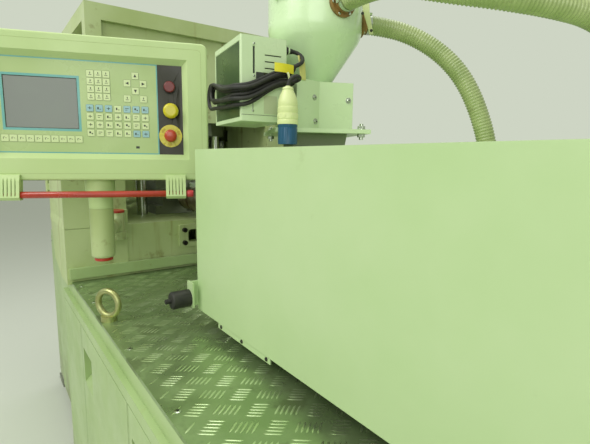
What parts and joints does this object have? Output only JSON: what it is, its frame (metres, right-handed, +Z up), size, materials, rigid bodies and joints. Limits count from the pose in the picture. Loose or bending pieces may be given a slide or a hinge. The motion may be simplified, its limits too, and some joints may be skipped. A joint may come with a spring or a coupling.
{
  "type": "injection blow moulding machine",
  "caption": "Horizontal injection unit under a long cover feeding an upright rotary-table clamp with guard, vacuum hopper loader with two hoses, and a swivelling operator console.",
  "frame": {"origin": "middle of the four floor anchor holes, at floor level", "axes": "+X towards the injection end, +Y away from the operator's side, +Z up"},
  "size_m": [3.22, 1.2397, 2.11],
  "materials": {
    "cream_paint": "satin, stained",
    "deck_steel": "worn, oily",
    "black_steel": "blackened",
    "machined_steel": "machined, oily",
    "cast_paint": "satin",
    "bright_steel": "ground and plated",
    "clear_window": "clear sheet",
    "bezel_plastic": "fine texture",
    "membrane": "printed foil",
    "dark_glass": "glossy",
    "yellow_plastic": "glossy",
    "red_plastic": "glossy",
    "smoke_lid": "smooth",
    "black_cable": "matt",
    "blue_plastic": "matt",
    "hose_plastic": "ribbed"
  },
  "bodies": {
    "base": {"base_frame": "cream_paint", "base_panels": "cream_paint", "deck_plate": "deck_steel", "lifting_eyes": "deck_steel", "levelling_feet": "deck_steel", "clamp_table": "deck_steel", "corner_housings": "cream_paint", "cap_screws": "black_steel", "guard_frame": "cream_paint", "tie_columns": "bright_steel", "top_beam": "machined_steel", "lower_tooling": "machined_steel", "carriage_rails": "machined_steel", "arm_bracket": "cream_paint", "pump_unit": "cast_paint"},
    "front_door_1": {"front_door_1": "cream_paint"},
    "front_door_2": {"front_door_2": "cream_paint"},
    "front_door_3": {"front_door_3": "cream_paint"},
    "clamp_door": {"clamp_door": "cream_paint", "clamp_door_handle": "black_steel"},
    "guard_door": {"guard_door": "cream_paint", "guard_door_window": "clear_window"},
    "injection_platen": {"injection_platen": "machined_steel"},
    "blow_platen": {"blow_platen": "machined_steel"},
    "turret_column": {"turret_column": "bright_steel"},
    "turret_head": {"turret_head": "machined_steel", "core_rods": "bright_steel"},
    "stripper": {"stripper_plate": "machined_steel"},
    "carriage": {"feed_housing": "cast_paint", "barrel": "machined_steel", "heater_bands": "machined_steel", "injection_cover": "cream_paint", "cover_buffer": "black_steel", "loader_base": "cream_paint", "loader_canister": "cream_paint", "loader_ports": "machined_steel", "control_box": "cream_paint", "power_cable": "black_cable", "power_cable_coil": "black_cable", "plug_body": "black_cable", "plug_cap": "blue_plastic", "suction_hose": "hose_plastic", "vacuum_hose": "hose_plastic", "hose_ends": "hose_plastic"},
    "screw_drive": {"screw_drive": "cast_paint"},
    "screw": {"screw": "machined_steel"},
    "loader_lid": {"loader_lid": "smoke_lid"},
    "lid_latch": {"lid_latch": "machined_steel"},
    "arm": {"arm_link": "cream_paint", "arm_caps": "black_steel"},
    "console": {"console_housing": "cream_paint", "console_bezel": "bezel_plastic", "console_membrane": "membrane", "console_screen": "dark_glass", "switch_strip": "membrane", "estop_ring": "yellow_plastic", "handle_bar": "red_plastic"},
    "estop": {"estop_head": "red_plastic"},
    "yellow_button": {"yellow_button": "yellow_plastic"},
    "red_button": {"red_button": "red_plastic"}
  },
  "joints": [
    {"name": "front_door_1_hinge", "type": "hinge", "parent": "base", "child": "front_door_1", "pos_m": [0.505, -0.5, 0.51], "axis": [0, 0, 1], "range_deg": [0, 110]},
    {"name": "front_door_2_hinge", "type": "hinge", "parent": "base", "child": "front_door_2", "pos_m": [1.015, -0.5, 0.51], "axis": [0, 0, 1], "range_deg": [0, 110]},
    {"name": "front_door_3_hinge", "type": "hinge", "parent": "base", "child": "front_door_3", "pos_m": [1.485, -0.5, 0.51], "axis": [0, 0, 1], "range_deg": [0, 110]},
    {"name": "clamp_door_hinge", "type": "hinge", "parent": "base", "child": "clamp_door", "pos_m": [-1.24, -0.418, 0.52], "axis": [0, 0, -1], "range_deg": [0, 110]},
    {"name": "guard_door_hinge", "type": "hinge", "parent": "base", "child": "guard_door", "pos_m": [-1.4645, -0.409, 1.5], "axis": [0, 0, -1], "range_deg": [0, 110]},
    {"name": "injection_clamp", "type": "slide", "parent": "base", "child": "injection_platen", "axis": [0, 0, -1], "range_m": [0, 0.12]},
    {"name": "blow_clamp", "type": "slide", "parent": "base", "child": "blow_platen", "axis": [0, 0, -1], "range_m": [0, 0.12]},
    {"name": "turret_lift", "type": "slide", "parent": "base", "child": "turret_column", "axis": [0, 0, -1], "range_m": [0, 0.06]},
    {"name": "turret_index", "type": "hinge", "parent": "turret_column", "child": "turret_head", "pos_m": [-0.88, 0, 1.385], "axis": [0, 0, 1], "continuous": true},
    {"name": "stripper_slide", "type": "slide", "parent": "base", "child": "stripper", "axis": [-0.5, -0.866, 0], "range_m": [0, 0.1]},
    {"name": "carriage_slide", "type": "slide", "parent": "base", "child": "carriage", "axis": [1, 0, 0], "range_m": [0, 0.15]},
    {"name": "injection_stroke", "type": "slide", "parent": "carriage", "child": "screw_drive", "axis": [1, 0, 0], "range_m": [0, 0.15]},
    {"name": "screw_spin", "type": "hinge", "parent": "screw_drive", "child": "screw", "pos_m": [0.5, 0, 1.235], "axis": [1, 0, 0], "continuous": true},
    {"name": "loader_lid_hinge", "type": "hinge", "parent": "carriage", "child": "loader_lid", "pos_m": [0.35618, 0.05494, 1.882], "axis": [-0.4226, -0.9063, 0], "range_deg": [0, 80]},
    {"name": "lid_latch_pivot", "type": "hinge", "parent": "carriage", "child": "lid_latch", "pos_m": [0.49518, -0.12015, 1.778], "axis": [0.9848, 0.1736, 0], "range_deg": [0, 90]},
    {"name": "arm_swing", "type": "hinge", "parent": "base", "child": "arm", "pos_m": [-0.178, -0.345, 1.182], "axis": [0, 0, 1], "range_deg": [-50, 20]},
    {"name": "console_swivel", "type": "hinge", "parent": "arm", "child": "console", "pos_m": [0.104, -0.446, 1.265], "axis": [0, 0, 1], "range_deg": [-30, 60]},
    {"name": "estop_push", "type": "slide", "parent": "console", "child": "estop", "axis": [-0.9373, 0.3486, 0], "range_m": [0, 0.005], "stiffness_N_per_m": 900},
    {"name": "yellow_button_push", "type": "slide", "parent": "console", "child": "yellow_button", "axis": [-0.9373, 0.3486, 0], "range_m": [0, 0.004], "stiffness_N_per_m": 700},
    {"name": "red_button_push", "type": "slide", "parent": "console", "child": "red_button", "axis": [-0.9373, 0.3486, 0], "range_m": [0, 0.003], "stiffness_N_per_m": 700}
  ],
  "couplings": [
    {"joint": "blow_clamp", "follows": "injection_clamp", "ratio": 1},
    {"joint": "turret_lift", "follows": "injection_clamp", "ratio": 0.5}
  ]
}
